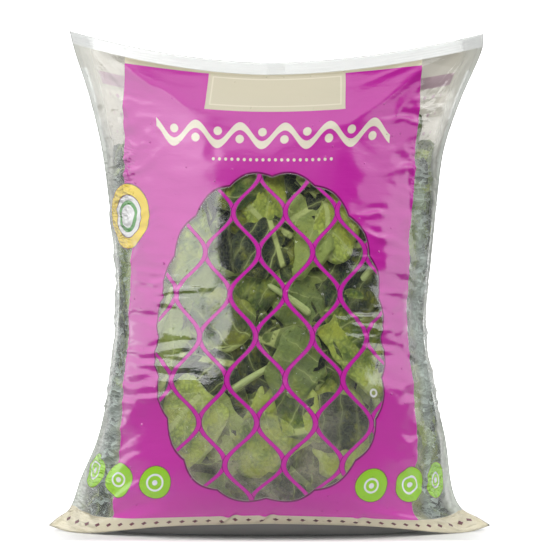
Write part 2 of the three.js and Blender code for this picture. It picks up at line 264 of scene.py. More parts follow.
def crestOf(x, s, hand):
    # a sharp crest with wide flanks along a bent line, fading towards the middle of the bag
    flank, line = wrinkles["crestLines"][hand]
    nearest, share = np.full_like(x, 1e3), np.zeros_like(x)
    for k, ((ax, as_), (bx, bs)) in enumerate(zip(line[:-1], line[1:])):
        dx, ds = bx - ax, bs - as_
        f = np.clip(((x - ax) * dx + (s - as_) * ds) / (dx * dx + ds * ds), 0, 1)
        away = np.hypot(x - ax - f * dx, s - as_ - f * ds)
        share = np.where(away < nearest, (k + f) / (len(line) - 1), share)
        nearest = np.minimum(nearest, away)
    return np.exp(-np.sqrt(nearest ** 2 + 2) / flank) * band(share, (0.02, 0.2), (0.55, 1))


def fanOf(across, up, seed, spacing):
    # folds fan out from a corner, so they follow the bearing seen from it
    reach = np.hypot(across, up)
    return reach, ridges(valueNoise(np.arctan2(up, across) * spacing[0], reach / spacing[1], seed))


def wrinkleOf(side):
    x, s = flatX, flatS
    seed = 3 if side < 0 else 11
    a = np.abs(x) / (film["flatWidth"] / 2)
    edgeFree = 1 - smoothStep(a, 0.93, 1.0)
    cushion = layeredNoise(x / 38, s / 38, seed, 3) * band(s, (20, 60), (250, 320))
    # crinkles along the side margins
    warp = layeredNoise(x / 60, s / 60, seed + 20) * 9
    bend = layeredNoise(x / 24, s / 24, seed + 24) * 5
    margin = ridges(valueNoise((x + warp) / 42, (s + warp + 0.25 * np.abs(x)) / 8.5, seed + 5))
    margin = margin + 0.45 * ridges(valueNoise((x + s * 0.4) / 19, (s + bend - 0.2 * x) / 6.5, seed + 7))
    margin = margin * smoothStep(a, 0.52, 0.8) * edgeFree * band(s, (20, 70), (285, 330))
    # level pleats beside the window, and single folds
    pullArea = np.exp(-((np.abs(x) - 82) / 24) ** 2) * np.exp(-((s - 165) / 42) ** 2)
    pull = ridges(valueNoise(x / 55, (s + 0.1 * x) / 6.5, seed + 9)) * pullArea * wrinkles["pull"]
    for fx, fs, half, height, slope in wrinkles["folds" if side < 0 else "backFolds"]:
        along = np.maximum(1 - ((x - fx) / half) ** 2, 0)
        off = s - fs - slope * (x - fx) - 1.5 * valueNoise(x / 9, x * 0 + fs, 50)
        pull = pull + 1.3 * height * along * hollowed(off, 1.9, 3.2, 0.6, 2.2)
    total = cushion * wrinkles["cushion"] + margin * wrinkles["margin"] + pull
    for hand in (-1, 1):
        dx = hand * x
        reach, fan = fanOf(152 - dx, 352 - s, seed + 30 + hand, (7.5, 90))
        area = band(reach, (6, 34), (50, 95)) * (1 - smoothStep(s, 326, 338))
        total = total + fan * area * wrinkles["corner"]
        total = total + crestOf(dx, s, hand) * wrinkles["crest"] * (1 - smoothStep(s, 330, 338))
        reach, fan = fanOf(156 - dx, s - 4, seed + 40 + hand, (6.5, 70))
        area = band(reach, (8, 30), (60, 110)) * smoothStep(s, 5, 20)
        total = total + fan * area * wrinkles["ear"]
    if side > 0:
        seam = (1 - smoothStep(np.abs(x), 5.2, 6.8)) * smoothStep(s, 46, 49)
        total = total + wrinkles["seam"] * seam
    # crumpled bottom corners, and the pinches of the lower strip
    crumpled = ridges(valueNoise((x + s) / 12, (s - 0.35 * np.abs(x)) / 8, seed + 60))
    crumpled = crumpled * smoothStep(np.abs(x), 108, 134) * band(s, (1, 5), (18, 36)) * edgeFree
    total = total * smoothStep(s, 1, 14) + wrinkles["crumple"] * crumpled
    for px, height in wrinkles["pinches"] if side < 0 else []:
        pinch = hollowed(x - px - 0.5 * (s - 6), 2.4, 5, 0.7, 3.0)
        total = total + height * pinch * band(s, (0.5, 5), (9, 20))
    return total


bagForm = {}
for side in (-1, 1):
    base = np.stack([filmRow(side, s, columns) for s in rowsUp])
    bagForm[side] = {"base": base, "out": outwardOf(base, side), "wrinkle": wrinkleOf(side)}
print("film form ready")


def buildFilm():
    # the back shares the front's outermost points, so the two sides close into one shell
    rows, cols = flatX.shape
    edge = np.zeros((rows, cols), bool)
    edge[0], edge[-1], edge[:, 0], edge[:, -1] = True, True, True, True
    front = np.arange(rows * cols).reshape(rows, cols)
    back = front.copy()
    back[~edge] = rows * cols + np.arange((~edge).sum())
    points, places, faces = [], [], []
    for side, index, kept in ((-1, front, np.ones_like(edge)), (1, back, ~edge)):
        form = bagForm[side]
        shift = (form["wrinkle"] + film["gap"])[..., None] * form["out"]
        shift[edge] = 0
        grid = form["base"] + shift
        grid[..., 2] = np.maximum(grid[..., 2], film["lowest"])
        points.append(grid[kept])
        places.append(np.dstack([flatX, flatS, np.full_like(flatX, side)])[kept])
        quads = gridFaces(index)
        faces.append(quads if side < 0 else quads[:, ::-1])
    piece = makeMesh("film_bag", np.vstack(points) * mm, np.vstack(faces))
    addVectors(piece, "filmPlace", np.vstack(places))
    return piece


filmBag = buildFilm()
print("film bag built,", len(filmBag.data.polygons), "faces")


# Leaf pieces, placed by where they lie round the bag, how high, and how deep under the film

heap = {
    "top": 292.0,
    "rows": 11,
    "perRow": 9,
    "thickness": 0.55,
    "deepest": 18.0,
    "highLevel": 304.0,
    "nearCrease": 0.17,     # no piece stands high within about 50 mm of a side edge
    "halfRing": 128,        # steps across one side of the bag
    "ringStep": 4.0,        # height of a step up it
    # each kind of piece: size and depth as lowest value and spread, tilt, points across, and more
    "outer": {"size": ((54, 14), (40, 12)), "depth": (4.2, 3.4), "tilt": (0.34, 0.34), "grid": 17},
    "loose": {"size": ((50, 0), (38, 0)), "depth": (2.2, 0), "tilt": (0.06, 0.06), "grid": 17,
              "sides": 7, "cup": 1.4},
    # inner pieces lie deeper, and their shade share is painted shade that darkens them
    "inner": {"size": ((40, 24), (30, 18)), "depth": (8, 5), "tilt": (0.5, 0.5), "grid": 11,
              "shade": 0.6, "count": 170},
    # edge pieces: their shade share is painted shade, deepest on the left
    "edge": {"size": ((18, 14), (13, 10)), "depth": (1, 6), "tilt": (0.7, 0.7), "grid": 9,
             "shade": (0.15, 0.6), "count": 110},
    # sole pieces: their shade share is painted shade under the bag
    "sole": {"size": ((56, 0), (40, 0)), "depth": (1.4, 2), "tilt": (0.05, 0), "grid": 11,
             "sides": 6, "cup": 0.5, "shade": 0.1, "lowest": 2.5, "count": 44},
    "loosePlaces": [(-62, 88), (-6, 66), (66, 150), (-38, 150), (20, 122), (-70, 205), (-8, 200),
                    (52, 214), (-28, 248), (46, 82)],     # flat place across and up the front film
}

ringColumns = np.linspace(-1, 1, heap["halfRing"] + 1)
ringLevels = np.arange(0, 320.1, heap["ringStep"])


def ringSurface(depth):
    # the first half of the columns crosses the front from left to right, the rest comes back behind
    front = np.stack([filmRow(-1, s, ringColumns, depth) for s in ringLevels])
    back = np.stack([filmRow(1, s, ringColumns, depth) for s in ringLevels])
    return np.concatenate([front[:, :-1], back[:, ::-1]], axis=1)


ringOuter = ringSurface(0.01)
ringInner = ringSurface(heap["deepest"])


def ringPoint(w, s, depth):
    # w runs from 0 to 1 across the front and on to 2 behind; s runs up the film
    w = np.mod(w, 2.0) * heap["halfRing"]
    r = np.clip(s, 0, heap["highLevel"]) / heap["ringStep"]
    i, j = np.floor(w).astype(int), np.floor(r).astype(int)
    fi, fj = (w - i)[..., None], (r - j)[..., None]
    i0, i1 = i % (2 * heap["halfRing"]), (i + 1) % (2 * heap["halfRing"])
    found = []
    for surface in (ringOuter, ringInner):
        low = surface[j, i0] * (1 - fi) + surface[j, i1] * fi
        high = surface[j + 1, i0] * (1 - fi) + surface[j + 1, i1] * fi
        found.append(low * (1 - fj) + high * fj)
    share = (depth / heap["deepest"])[..., None]
    return found[0] * (1 - share) + found[1] * share


def spread(field, reach=2):
    worst = field
    for i in range(-reach, reach + 1):
        for j in range(-reach, reach + 1):
            worst = np.maximum(worst, np.roll(np.roll(field, i, axis=0), j, axis=1))
    return worst


dents = {side: spread(np.maximum(-bagForm[side]["wrinkle"], 0)) for side in (-1, 1)}


def filmDent(w, s):
    # how far the wrinkled film comes inward at a place, with a little to spare
    w = np.mod(w, 2.0)
    back = w > 1
    u = np.where(back, 3 - 2 * w, 2 * w - 1)
    c = np.clip((u + 1) / 2 * (len(columns) - 1), 0, len(columns) - 1).astype(int)
    r = np.clip(s / film["rowStep"], 0, len(rowsUp) - 1).astype(int)
    return np.where(back, dents[1][r, c], dents[-1][r, c])


def draw(i, k):
    value = math.sin(i * 12.9898 + k * 78.233) * 43758.5453
    return value - math.floor(value)


def outlineRadius(angle, seed, size, sides):
    # rounded polygon with straight cut edges; one edge may be a natural, wavy leaf margin
    total = 0
    for k in range(sides):
        facing = (k + 0.45 * (draw(seed, 30 + k) - 0.5)) * 2 * math.pi / sides
        away = 0.5 + 0.09 * (draw(seed, 50 + k) - 0.5)
        total = total + np.maximum(np.cos(angle - facing) / away, 0) ** 16
    radius = total ** (-1 / 16)
    if draw(seed, 70) > 0.45:
        toward = np.maximum(np.cos(angle - 2 * math.pi * draw(seed, 71)), 0) ** 2
        radius = radius * (1 + toward * 0.06 * np.sin(angle * 11 + seed))
    return radius * np.hypot(np.cos(angle) * size[0], np.sin(angle) * size[1])


def turned(p, q, angle):
    return p * math.cos(angle) - q * math.sin(angle), p * math.sin(angle) + q * math.cos(angle)


def bladeTone(seed, w, s, shade):
    # painted shade: pieces low down, on which the bag stands, get a very dark tone
    if s < (34 if w > 1 else 25):
        return 0.02                         # the pieces it stands on lie in shade
    swayed = 2 * draw(seed, 84) - 1
    # painted light: outer pieces low on the front get a paler tone, where less light reaches them
    lift = 0.2 if shade == 1.0 and s < 98 else 0.0
    return shade * (0.44 + 0.5 * math.copysign(abs(swayed) ** 0.5, swayed)) + lift


def bladeMesh(seed, w, s, turn, size, sides, depth, tilt, cup, grid, fold=0.0, shade=1.0, lowest=9.0):
    # one cut piece of leaf: (points, faces, place on the parent leaf, look)
    i, j = np.meshgrid(np.linspace(-1, 1, grid), np.linspace(-1, 1, grid))
    r = np.maximum(np.abs(i), np.abs(j))
    angle = np.arctan2(j, i)
    radius = outlineRadius(angle, seed, size, sides) * r
    p, q = radius * np.cos(angle), radius * np.sin(angle)
    lift = tilt[0] * p + tilt[1] * q + cup * ((p / size[0]) ** 2 + (q / size[1]) ** 2) * 4
    lift = lift + fold * np.abs(p * math.sin(turn * 3) + q * math.cos(turn * 3)) * 2 / size[0]
    ruffle = layeredNoise(p / 15 + seed * 3.1, q / 15 + seed * 1.7, seed % 97, 2)
    lift = lift + ruffle * (0.7 + 1.3 * r ** 2)
    # where the piece was cut from its leaf: along and across the main rib
    along, across = turned(p, q, -2 * math.pi * draw(seed, 80))
    along = along + 200 * draw(seed, 82)
    across = across + (draw(seed, 81) - 0.5) * 76
    # veins stand slightly proud and the blade between them is quilted
    vein = np.abs((along - np.abs(across) * 0.85) / 15 % 1 - 0.5) * 2
    lift = lift - 0.55 * (1 - vein) ** 2 + 0.9 * np.exp(-(across / 2.4) ** 2)
    pw, ps = turned(p, q, turn)
    atW = w + pw / film["flatWidth"]
    atS = np.maximum(s + ps, lowest)
    deep = depth + lift + np.maximum(atS - heap["highLevel"], 0) * 0.5
    # pieces at a side edge of the bag lie close under the film
    deep = deep * (0.22 + 0.78 * smoothStep(np.abs(atW - np.round(atW)), 0.02, 0.2))
    # none comes through it, and none reaches past the deepest layer
    low = filmDent(atW, atS) + 0.9
    deep = np.where(deep < low + 1.2, low + 1.2 * np.exp((deep - low - 1.2) / 1.2), deep)
    deep = np.minimum(deep, heap["deepest"] - 1)
    layers = [ringPoint(atW, atS, deep + under).reshape(-1, 3) for under in (0, heap["thickness"])]
    count = grid * grid
    index = np.arange(count).reshape(grid, grid)
    quads = gridFaces(index)
    loop = np.concatenate([index[0, :-1], index[:-1, -1], index[-1, :0:-1], index[:0:-1, 0]])
    after = np.roll(loop, -1)
    rim = np.column_stack([after, loop, loop + count, after + count])
    place = np.dstack([along, across, np.full_like(along, seed % 89)]).reshape(-1, 3)
    tone = bladeTone(seed, w, s, shade)
    face = 1.0 if draw(seed, 83) > 0.38 or tone < 0.35 else -1.0      # some show their underside
    look = np.column_stack([np.full(count, tone), np.full(count, face), r.ravel()])
    return (np.vstack(layers), np.vstack([quads, quads[:, ::-1] + count, rim]),
            np.vstack([place, place]), np.vstack([look, look * np.array([1, -1, 1])]))


def buildLeaves(name, blades):
    points, faces, places, looks, count = [], [], [], [], 0
    for settings in blades:
        p, f, place, look = bladeMesh(**settings)
        points.append(p)
        faces.append(f + count)
        places.append(place)
        looks.append(look)
        count += len(p)
    piece = makeMesh(name, np.vstack(points) * mm, np.vstack(faces))
    addVectors(piece, "leafPlace", np.vstack(places))
    addVectors(piece, "leafLook", np.vstack(looks))
    return piece


def blade(kind, seed, w, s, **more):
    # settings of one piece, drawn by its seed between the limits of its kind
    own = {key: value for key, value in heap[kind].items() if key != "count"}
    own["size"] = tuple(low + wider * draw(seed, 4 + k) for k, (low, wider) in enumerate(own["size"]))
    own["depth"] = own["depth"][0] + own["depth"][1] * draw(seed, 6)
    own["tilt"] = tuple(most * (draw(seed, 7 + k) - 0.5) for k, most in enumerate(own["tilt"]))
    own.update({"seed": seed, "w": w, "s": s, "turn": 2 * math.pi * draw(seed, 3)}, **more)
    return own


def tooHigh(w, s):
    return abs(w - round(w)) < heap["nearCrease"] and s > 236


def acrossFront(x):
    return (x / (film["flatWidth"] / 2) + 1) / 2


def shingledBlades():
    # the outer pieces lie where the solids have them
    found = []
    for i in range(heap["rows"]):
        for j in range(heap["perRow"]):
            seed = i * heap["perRow"] + j + 1
            w = (j + 0.5 * (i % 2) + 0.35 * draw(seed, 1)) * 2 / heap["perRow"]
            s = 22 + (heap["top"] - 30) * (i + 0.4 * draw(seed, 2)) / (heap["rows"] - 1)
            if not tooHigh(w, s):
                found.append(blade("outer", seed, w, s, sides=6 - seed % 2, cup=3.2 * (draw(seed, 9) - 0.35),
                                   fold=2.6 if draw(seed, 10) > 0.7 else 0.0))
    return found


def looseBlades():
    return [blade("loose", 200 + k, acrossFront(x), s, turn=draw(k, 60) * 2 * math.pi)
            for k, (x, s) in enumerate(heap["loosePlaces"])]


def innerBlades():
    found = []
    for k in range(heap["inner"]["count"]):
        seed = 400 + k
        w, s = 2 * (k * 0.618 % 1), 24 + 262 * draw(seed, 2)
        if not tooHigh(w, s):
            found.append(blade("inner", seed, w, s, sides=5 + seed % 3, cup=4 * (draw(seed, 9) - 0.5)))
    return found


def edgeBlades():
    # small crumpled pieces pushed into the two side edges, darkened with painted shade, most on the left
    found = []
    for k in range(heap["edge"]["count"]):
        seed = 700 + k
        w = (k % 2) + 0.15 * (draw(seed, 1) - 0.5)
        s = 18 + 244 * (k + draw(seed, 2)) / heap["edge"]["count"]
        found.append(blade("edge", seed, w, s, sides=5 + seed % 3, cup=4 * (draw(seed, 9) - 0.5),
                           shade=heap["edge"]["shade"][k % 2]))
    return found


def soleBlades():
    # the pieces that the bag stands on, with a fixed small slope up it; their dark tone is painted shade
    count = heap["sole"]["count"]
    found = []
    for k in range(count):
        piece = blade("sole", 900 + k, 1.08 + 0.84 * (k * 0.618 % 1), 6 + 34 * (k + 0.5) / count)
        piece["tilt"] = (piece["tilt"][0], 0.03)
        found.append(piece)
    return found


outerLeaves = buildLeaves("leaf_pieces_outer", shingledBlades())
looseLeaves = buildLeaves("leaf_pieces_loose", looseBlades())
innerLeaves = buildLeaves("leaf_pieces_inner", innerBlades() + edgeBlades() + soleBlades())
print("leaf pieces built")

core = {
    "around": 160,
    "levels": (14, 288, 5.0),       # lowest, highest, step
    "depth": 14.5,
    "lumps": 1.6,
    "closing": (0.02, 0.35, 0.7),   # how far the end rings draw in
    # the core's dark tone is painted shade
    "look": (0.12, 1.0, 0.5),       # tone, face and rim, as for the pieces
}


def buildCore():
    # the middle of the heap, behind the pieces that can be told apart, dark with painted shade
    atW, atS = np.meshgrid(np.arange(0, 2, 2 / core["around"]), np.arange(*core["levels"]))
    lump = layeredNoise(np.cos(atW * math.pi) * 3.2, np.sin(atW * math.pi) * 3.2 + atS / 22, 61, 3)
    fromEdge = np.abs(atW - np.round(atW))
    drawnIn = np.maximum(smoothStep(fromEdge, 0.0, 0.16), smoothStep(atS, 190, 232))
    rings = ringPoint(atW, atS, (core["depth"] + core["lumps"] * lump) * (0.24 + 0.76 * drawnIn))
    middle = rings.mean(axis=1, keepdims=True)
    ends = [middle + (rings - middle) * share for share in core["closing"]]
    bottom = np.concatenate([e[:1] for e in ends])
    top = np.concatenate([e[-1:] for e in reversed(ends)])
    rings = np.concatenate([bottom, rings, top])
    rows, cols = rings.shape[:2]
    quads = gridFaces(np.arange(rows * cols).reshape(rows, cols), closed=True)
    piece = makeMesh("leaf_heap_core", rings.reshape(-1, 3) * mm, quads)
    flat = np.dstack([rings[..., 0], rings[..., 2], np.full((rows, cols), 7.0)])
    addVectors(piece, "leafPlace", flat.reshape(-1, 3))
    addVectors(piece, "leafLook", np.tile(core["look"], (rows * cols, 1)))
    return piece


heapCore = buildCore()
print("core built")

stalk = {
    "places": [(-14, 112, 0.5), (78, 104, 1.9), (-84, 160, 1.2), (14, 165, 2.6), (-104, 120, 1.7),
               (86, 190, 0.7)],       # flat place across and up the front film, and its turn
    "length": 40.0,
    "radius": 2.5,
    "taper": (0.86, -0.18),           # share of the radius at the middle, and its change to the end
    "flattened": 1.15,
    "bow": 1.6,
    "depth": 5.6,
    "around": 14,
    "rings": 25,
}


def buildStalk(k, x, s, turn):
    around = np.arange(stalk["around"]) * 2 * math.pi / stalk["around"]
    tt, aa = np.meshgrid(np.linspace(-1, 1, stalk["rings"]), around, indexing="ij")
    cap = np.sqrt(np.maximum(1 - np.abs(tt) ** 14, 0.0004))
    width, change = stalk["taper"]
    radius = stalk["radius"] * (width + change * tt) * cap * (1 + 0.05 * np.sin(3 * aa + k))
    p = tt * stalk["length"] / 2
    q = radius * np.cos(aa) * stalk["flattened"] + stalk["bow"] * (tt * tt - 0.4) * (draw(k, 90) - 0.5)
    pw, ps = turned(p, q, turn)
    atW = acrossFront(x) + pw / film["flatWidth"]
    points = ringPoint(atW, s + ps, stalk["depth"] + radius * np.sin(aa))
    quads = gridFaces(np.arange(tt.size).reshape(tt.shape), closed=True)[:, [0, 3, 2, 1]]
    piece = makeMesh("stalk_%02d" % (k + 1), points.reshape(-1, 3) * mm, quads)
    addVectors(piece, "leafPlace", np.dstack([p, q, np.full_like(p, k)]).reshape(-1, 3))
    return piece


stalks = [buildStalk(k, *place) for k, place in enumerate(stalk["places"])]
print("stalks built")


# Node helpers: a Value is a node's output that ordinary sums work on, each as one Math node

class Value:

    def __init__(self, socket):
        self.socket = socket

    def __add__(self, other):
        return calc("ADD", self, other)

    def __sub__(self, other):
        return calc("SUBTRACT", self, other)

    def __rsub__(self, other):
        return calc("SUBTRACT", other, self)

    def __mul__(self, other):
        return calc("MULTIPLY", self, other)

    def __truediv__(self, other):
        return calc("DIVIDE", self, other)

    def __pow__(self, other):
        return calc("POWER", self, other)

    def __mod__(self, other):
        return calc("FLOORED_MODULO", self, other)

    def __abs__(self):
        return calc("ABSOLUTE", self)


def srgb(r, g, b):
    values = [c / 255 for c in (r, g, b)]
    return tuple(v / 12.92 if v <= 0.04045 else ((v + 0.055) / 1.055) ** 2.4 for v in values) + (1.0,)


def addNode(tree, kind, inputs=None, **settings):
    # an input takes a number, a Value, or a node, which gives its first output
    node = tree.nodes.new("ShaderNode" + kind)
    for name, value in settings.items():
        setattr(node, name, value)
    for key, value in (inputs or {}).items():
        if isinstance(value, Value):
            tree.links.new(value.socket, node.inputs[key])
        elif isinstance(value, bpy.types.Node):
            tree.links.new(value.outputs[0], node.inputs[key])
        else:
            node.inputs[key].default_value = value
    return node


def valueOf(tree, kind, inputs=None, output=0, **settings):
    return Value(addNode(tree, kind, inputs, **settings).outputs[output])


def calc(operation, *values, clamp=False):
    tree = next(value.socket.id_data for value in values if isinstance(value, Value))
    return valueOf(tree, "Math", dict(enumerate(values)), operation=operation, use_clamp=clamp)


def mapped(value, low, high, toLow, toHigh, kind="LINEAR"):
    return valueOf(value.socket.id_data, "MapRange", {0: value, 1: low, 2: high, 3: toLow, 4: toHigh},
                   interpolation_type=kind)


def above(value, level, soft=0.3):
    return mapped(value, level - soft, level + soft, 0.0, 1.0, "SMOOTHSTEP")


def below(value, level, soft=0.3):
    return mapped(value, level - soft, level + soft, 1.0, 0.0, "SMOOTHSTEP")


def between(value, low, high):
    return above(value, low) * below(value, high)


def distance(dx, dy):
    return calc("SQRT", dx * dx + dy * dy)


def fromCell(value, step):
    # how far a value is from the middle of its cell, in a row of equal cells
    return value % step - step / 2


def mixColour(factor, first, second):
    return valueOf(factor.socket.id_data, "Mix", {0: factor, 6: first, 7: second}, 2, data_type="RGBA")


def channel(colour, index):
    return valueOf(colour.socket.id_data, "SeparateColor", {0: colour}, index)


def noise(vector, scale, detail=3.0, roughness=0.5, output="Fac"):
    return valueOf(vector.socket.id_data, "TexNoise", {"Vector": vector, "Scale": scale, "Detail": detail,
                                                       "Roughness": roughness}, output)


def cellEdge(vector, scale):
    return valueOf(vector.socket.id_data, "TexVoronoi", {"Vector": vector, "Scale": scale}, "Distance",
                   feature="DISTANCE_TO_EDGE")


def moved(vector, scale, offset=(0.0, 0.0, 0.0)):
    return valueOf(vector.socket.id_data, "VectorMath", {0: vector, 1: scale, 2: offset},
                   operation="MULTIPLY_ADD")


def newMaterial(name):
    material = bpy.data.materials.new(name)
    material.use_nodes = True
    material.node_tree.nodes.clear()
    return material, material.node_tree


def place(tree, name):
    vector = valueOf(tree, "Attribute", output="Vector", attribute_name=name, attribute_type="GEOMETRY")
    parts = addNode(tree, "SeparateXYZ", {0: vector})
    return [vector] + [Value(part) for part in parts.outputs]


def newGroup(name, inputs, outputs):
    tree = bpy.data.node_groups.new(name, "ShaderNodeTree")
    for direction, sockets in (("INPUT", inputs), ("OUTPUT", outputs)):
        for socket, kind in sockets.items():
            tree.interface.new_socket(socket, in_out=direction, socket_type="NodeSocket" + kind)
    return tree


def finishGroup(tree, results):
    out = tree.nodes.new("NodeGroupOutput")
    for name, value in results.items():
        tree.links.new(value.socket, out.inputs[name])
    return tree


def beadGroup():
    # beads of water: a soft dot in the wet cells of a scattered pattern
    tree = newGroup("waterBeads", {"Vector": "Vector", "Scale": "Float", "Size": "Float",
                                   "Softness": "Float", "Dry share": "Float"}, {"Beads": "Float"})
    vector, scale, size, softness, dry = [Value(s) for s in tree.nodes.new("NodeGroupInput").outputs[:5]]
    cells = addNode(tree, "TexVoronoi", {"Vector": vector, "Scale": scale})
    dots = below(Value(cells.outputs["Distance"]), size, softness)
    wet = above(channel(Value(cells.outputs["Color"]), 0), dry, 0.01)
    return finishGroup(tree, {"Beads": dots * wet})


waterBeads = beadGroup()
white = (1.0, 1.0, 1.0, 1.0)


# The print on the film: plain generic shapes, set out on the flat film in millimetres

bagPrint = {
    "magenta": srgb(207, 38, 173),
    # a dark line at ink edges: painted shadow
    "paintedShadowLine": srgb(110, 12, 84),
    "beige": srgb(220, 212, 184),
    "cream": srgb(238, 230, 208),
    "lime": srgb(156, 220, 0),
    "yellow": srgb(250, 217, 30),
    "green": srgb(72, 158, 60),
    "maroon": srgb(96, 34, 50),
    "white": srgb(248, 248, 248),
    # grey ink is painted shadow low on the back, under the bag
    "paintedShadowGrey": srgb(132, 132, 130),
    "strip": (11.0, 10.0),               # height in the middle, and its rise to the corners
    "panelHalf": 111.0,
    "panelShift": 3.0,                   # the printed panel sits a little to the left
    "panelTop": (334.5, -9.0),
    "sealFrom": 336.3,
    "header": (56.0, 301.0, 336.0),      # half-width, bottom, top
    "wave": (281.0, 36.0, 7.5, 3.2),     # level, length, height, half thickness
    "waveDots": [(9.0, 278.0), (27.0, 284.0)],     # shift and level
    "smallDots": (262.0, 5.0, 1.2),      # level, spacing, radius
    "window": (82.0, 111.0, 139.5),      # half-width, half-height, middle
    "lattice": (40.0, 56.0, 10.0),       # spacing, length of a sway, its reach
    # rings from the outside in: inset and colour
    "badge": (-119.5, 219.0, 22.2, [(0.0, "maroon"), (0.7, "yellow"), (7.6, "maroon"), (8.3, "white"),
                                    (11.5, "green"), (14.5, "white")]),
    "discs": [(-137, 47), (-110, 42.5), (-79, 41.5), (74, 41), (105, 42), (133, 44)],
    "diamonds": (9.0, 2.1),              # spacing, radius
    "vents": [(72.6, 103.6, -1), (-68.0, 205.0, 1), (60.0, 150.0, 1)],
}


def printGroup():
    tree = newGroup("bagPrint", {}, {"Colour": "Color", "Cover": "Float", "Haze": "Float"})
    vector, x, s, side = place(tree, "filmPlace")
    ax = abs(x)
    front = below(side, 0.0, 0.02)
    behind = 1.0 - front
    laid = {"Colour": bagPrint["white"], "Cover": 0.0}

    def lay(mask, colour, cover=1.0):
        laid["Colour"] = mixColour(mask, laid["Colour"], bagPrint[colour])
        laid["Cover"] = valueOf(tree, "Mix", {0: mask, 2: laid["Cover"], 3: cover})

    # lower strip and panel, both edged by the same shallow curve
    bend = (ax / 156.0) ** 3.0
    stripTop = bend * bagPrint["strip"][1] + bagPrint["strip"][0]
    aboveStrip = above(s - stripTop, 0.0)
    inStrip = 1.0 - aboveStrip
    belowTop = below(s - (bend * bagPrint["panelTop"][1] + bagPrint["panelTop"][0]), 0.0)
    shoulder = above(s, 226.0, 36.0) * below(s, 314.0, 30.0)
    panelEdge = shoulder * 12.0 + bagPrint["panelHalf"]
    inPanel = below(abs(x + bagPrint["panelShift"]) - panelEdge, 0.0)
    lay(front * inPanel * aboveStrip * belowTop, "magenta")
    lay(front * inPanel * below(s, 336.2) * (1.0 - belowTop), "beige")

    # header block with a thin line inside it
    half, low, high = bagPrint["header"]
    slant = ax + (s - low) * 0.16

    def block(aside, upright):
        return below(slant, half - aside) * between(s, low + upright, high - upright)

    lay(front * block(0.0, 0.0), "beige")
    lay(front * block(3.0, 4.0) * (1.0 - block(4.0, 5.0)), "cream")

    # running wave with dots in its bends, and small dots under it
    level, length, height, thick = bagPrint["wave"]
    wave = calc("SINE", x * (2 * math.pi / length)) * height
    lay(front * below(abs(s - level - wave), thick) * below(ax, 96.0), "cream")
    for offset, level in bagPrint["waveDots"]:
        away = distance(fromCell(x + offset, length), s - level)
        lay(front * below(away, 3.4) * below(ax, 94.0), "cream")
    level, spacing, radius = bagPrint["smallDots"]
    away = distance(fromCell(x, spacing), s - level)
    lay(front * below(away, radius, 0.2) * below(ax, 50.0, 0.1), "cream")

    # clear window with a scalloped edge and a plain lattice across it
    wide, tall, level = bagPrint["window"]
    dy = s - level
    scallop = abs(calc("SINE", calc("ARCTAN2", dy, x) * 10.0)) * 0.035
    oval = (abs(x / wide) ** 2.2 + abs(dy / tall) ** 2.2) ** (1 / 2.2) - scallop
    # painted shadow: a dark line round the window's edge
    lay(front * below(oval, 1.0, 0.005), "paintedShadowLine")
    window = front * below(oval, 0.985, 0.005)
    lay(window, "white", 0.0)
    spacing, length, reach = bagPrint["lattice"]
    sway = calc("COSINE", dy * (2 * math.pi / length)) * reach
    for shifted in (x + sway + spacing / 2, x - sway):
        fromLine = abs(fromCell(shifted, spacing))
        # painted shadow: a dark line along each lattice line
        lay(window * below(fromLine, 2.1), "paintedShadowLine")
        lay(window * below(fromLine, 1.6), "magenta")

    # round badge, and a row of lime discs with plain rings
    cx, cs, radius, rings = bagPrint["badge"]
    away = distance(x - cx, s - cs)
    for inset, colour in rings:
        lay(front * below(away, radius - inset), colour)
    for k, (cx, cs) in enumerate(bagPrint["discs"]):
        away = distance(x - cx, s - cs)
        ring = 6.6 - k % 2
        lay(front * below(away, 12.4), "maroon")
        lay(front * below(away, 11.9), "lime")
        lay(front * below(away, ring) * above(away, ring - 1.4), "white")
        lay(front * below(away, 2.0), "white")

    # lower strip with small diamonds
    lay(front * inStrip, "beige")
    spacing, radius = bagPrint["diamonds"]
    lay(front * below(abs(fromCell(x, spacing)) + abs(s - stripTop * 0.5), radius), "maroon")

    # back: grey foot, a painted shadow under the bag, then panel, pale block with a bar and dots under a
    # beige band
    top = bagPrint["sealFrom"]
    lay(behind * below(s, 42.0) * below(ax, 132.0), "paintedShadowGrey")
    lay(behind * inPanel * between(s, 46.0, 218.0), "magenta")
    lay(behind * between(s, 218.0, top) * below(ax, 150.0), "cream")
    bandFrom = calc("MAXIMUM", ax - 108.0, 0.0) * 0.32 + s
    lay(behind * above(bandFrom, 334.5) * below(s, top), "beige")
    lay(behind * between(s, 312.0, 321.0) * below(ax, 140.0), "magenta")
    away = distance(fromCell(x, 7.0), fromCell(s, 13.0))
    lay(behind * below(away, 1.3) * between(s, 270.0, 308.0) * below(ax, 136.0), "magenta")
    # a white box with rules on the panel, plain rules beside it, and the strip
    fromBox = abs(x - 58.0)
    box = behind * below(fromBox, 34.0) * between(s, 92.0, 212.0)
    lay(box, "white")
    lay(box * below(abs(fromCell(s, 12.0)), 0.5, 0.2) * below(fromBox, 30.0), "maroon")
    ruled = behind * below(abs(x + 56.0), 36.0) * between(s, 130.0, 226.0)
    lay(ruled * below(abs(fromCell(s, 9.0)), 0.9, 0.2), "cream")
    lay(behind * inStrip, "beige")
    # painted shadow: the middle of the back's lower strip is grey, as shade under the bag
    lay(behind * inStrip * below(ax, 118.0), "paintedShadowGrey")

